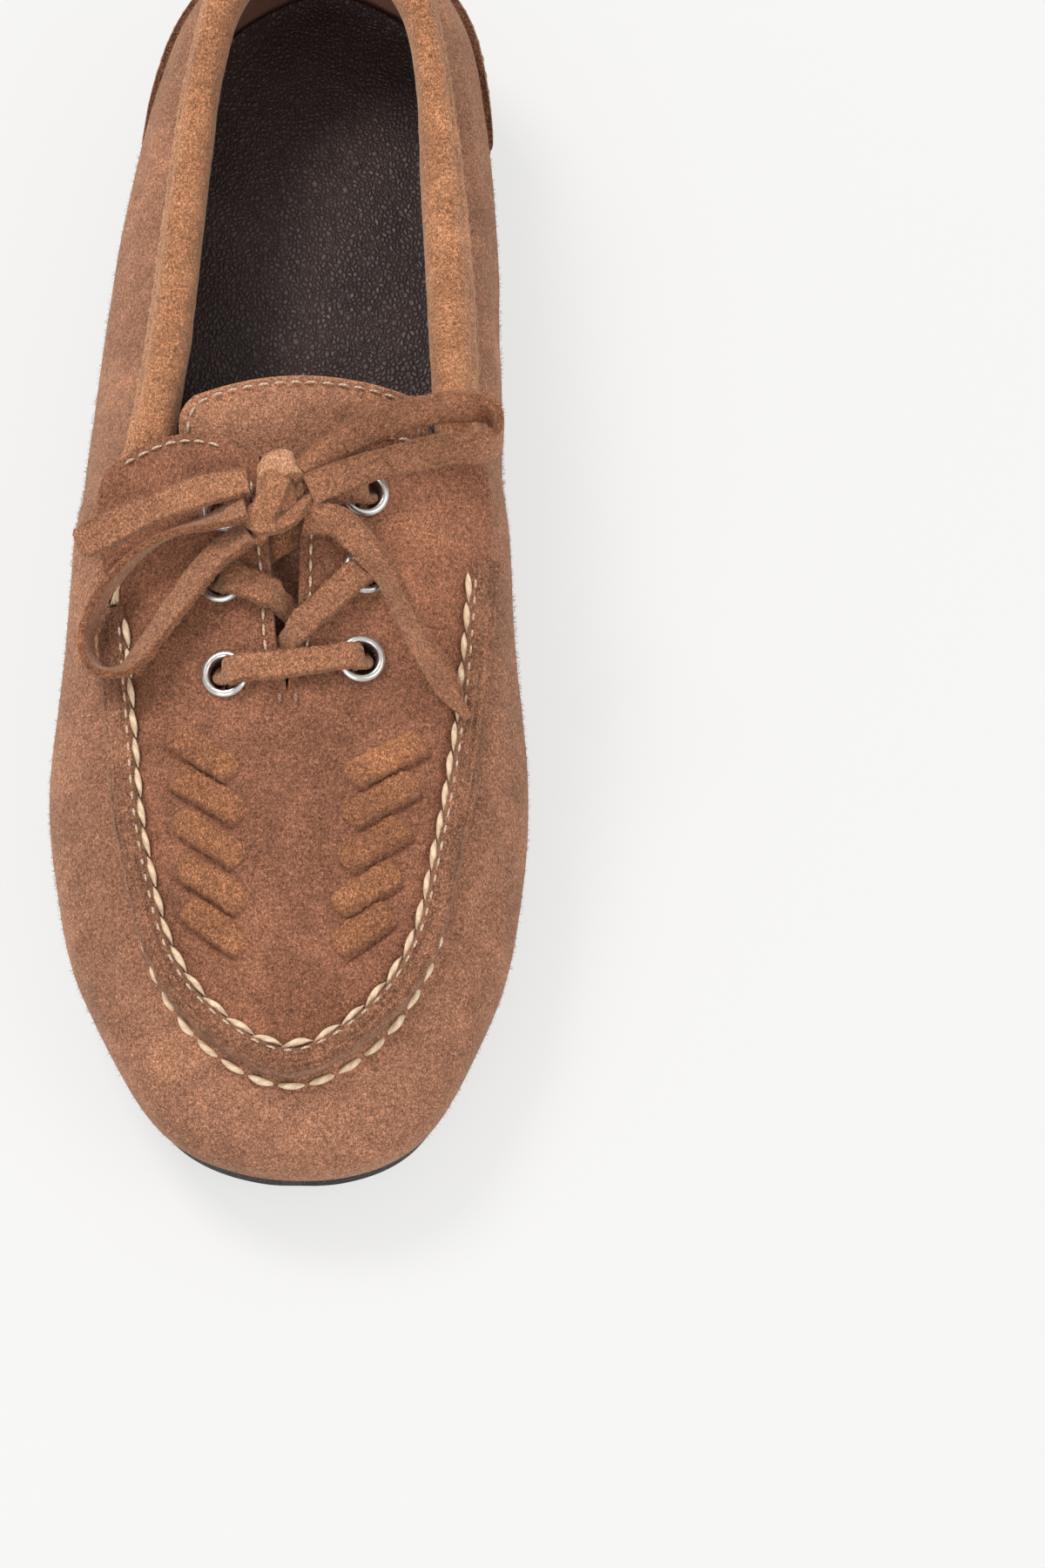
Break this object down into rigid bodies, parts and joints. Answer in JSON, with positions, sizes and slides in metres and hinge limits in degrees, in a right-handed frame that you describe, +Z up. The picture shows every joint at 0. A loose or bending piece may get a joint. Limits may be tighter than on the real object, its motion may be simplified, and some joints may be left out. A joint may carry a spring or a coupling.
{
  "type": "moccasin",
  "caption": "Lace-up suede moccasin, right foot, with a raised hand-stitched apron, padded collar, woven apron strips, ring eyelets, tied bow lace and low rubber sole.",
  "frame": {"origin": "centre of the shoe's outline on the ground plane, under the middle of the shoe", "axes": "+Y along the shoe from toe to heel, +X towards the inner (big toe) side of this right shoe, +Z up"},
  "size_m": [0.09, 0.2598, 0.0678],
  "materials": {
    "suede": "napped suede, matt",
    "suede_light": "napped suede, matt, brushed lighter",
    "suede_edge": "raw cut suede edges",
    "lining": "smooth lining leather",
    "sock": "pebbled dark leather, semi-matt",
    "rubber": "moulded rubber, matt",
    "stack": "stacked fibre, dark",
    "board": "pressed fibre board",
    "foam": "open-cell foam",
    "stiffener": "non-woven stiffener",
    "tape": "cotton reinforcement tape",
    "metal": "satin nickel plate",
    "thread": "waxed cream thread",
    "lace": "cut suede strip"
  },
  "bodies": {
    "shoe": {"outsole": "rubber", "heel_lift": "stack", "heel_top_piece": "rubber", "insole_board": "board", "bottom_filler": "foam", "footbed_foam": "foam", "sock_lining": "sock", "sidewall": "suede_light", "apron": "suede", "apron_welt": "suede_edge", "apron_lining": "lining", "vamp_lining": "lining", "quarter_lining_lateral": "lining", "quarter_lining_medial": "lining", "heel_grip": "lining", "heel_counter": "stiffener", "toe_puff": "stiffener", "heel_patch": "suede_edge", "collar": "suede_light", "collar_foam": "foam", "facing_stay_lateral": "tape", "facing_stay_medial": "tape", "eyelets_lateral": "metal", "eyelets_medial": "metal", "weave_lateral": "suede_light", "weave_medial": "suede_light", "lace_laced": "lace", "lace_knot": "lace", "bow_loop_medial": "lace", "bow_loop_lateral": "lace", "lace_tail_medial": "lace", "lace_tail_lateral": "lace", "hand_stitches_inner": "thread", "hand_stitches_outer": "thread", "seam_row_stitches": "thread", "facing_stitches": "thread", "collar_stitches": "thread", "heel_patch_stitches": "thread", "bar_tack": "thread", "seam_wraps": "thread"},
    "tongue": {"tongue": "suede", "tongue_lining": "lining", "tongue_stitches": "thread"}
  },
  "joints": [
    {"name": "tongue_hinge", "type": "hinge", "parent": "shoe", "child": "tongue", "pos_m": [0.003, -0.051, 0.041], "axis": [1, 0, 0], "range_deg": [-16, 0], "stiffness_Nm_per_rad": 0.05, "springref_deg": 11.46}
  ]
}
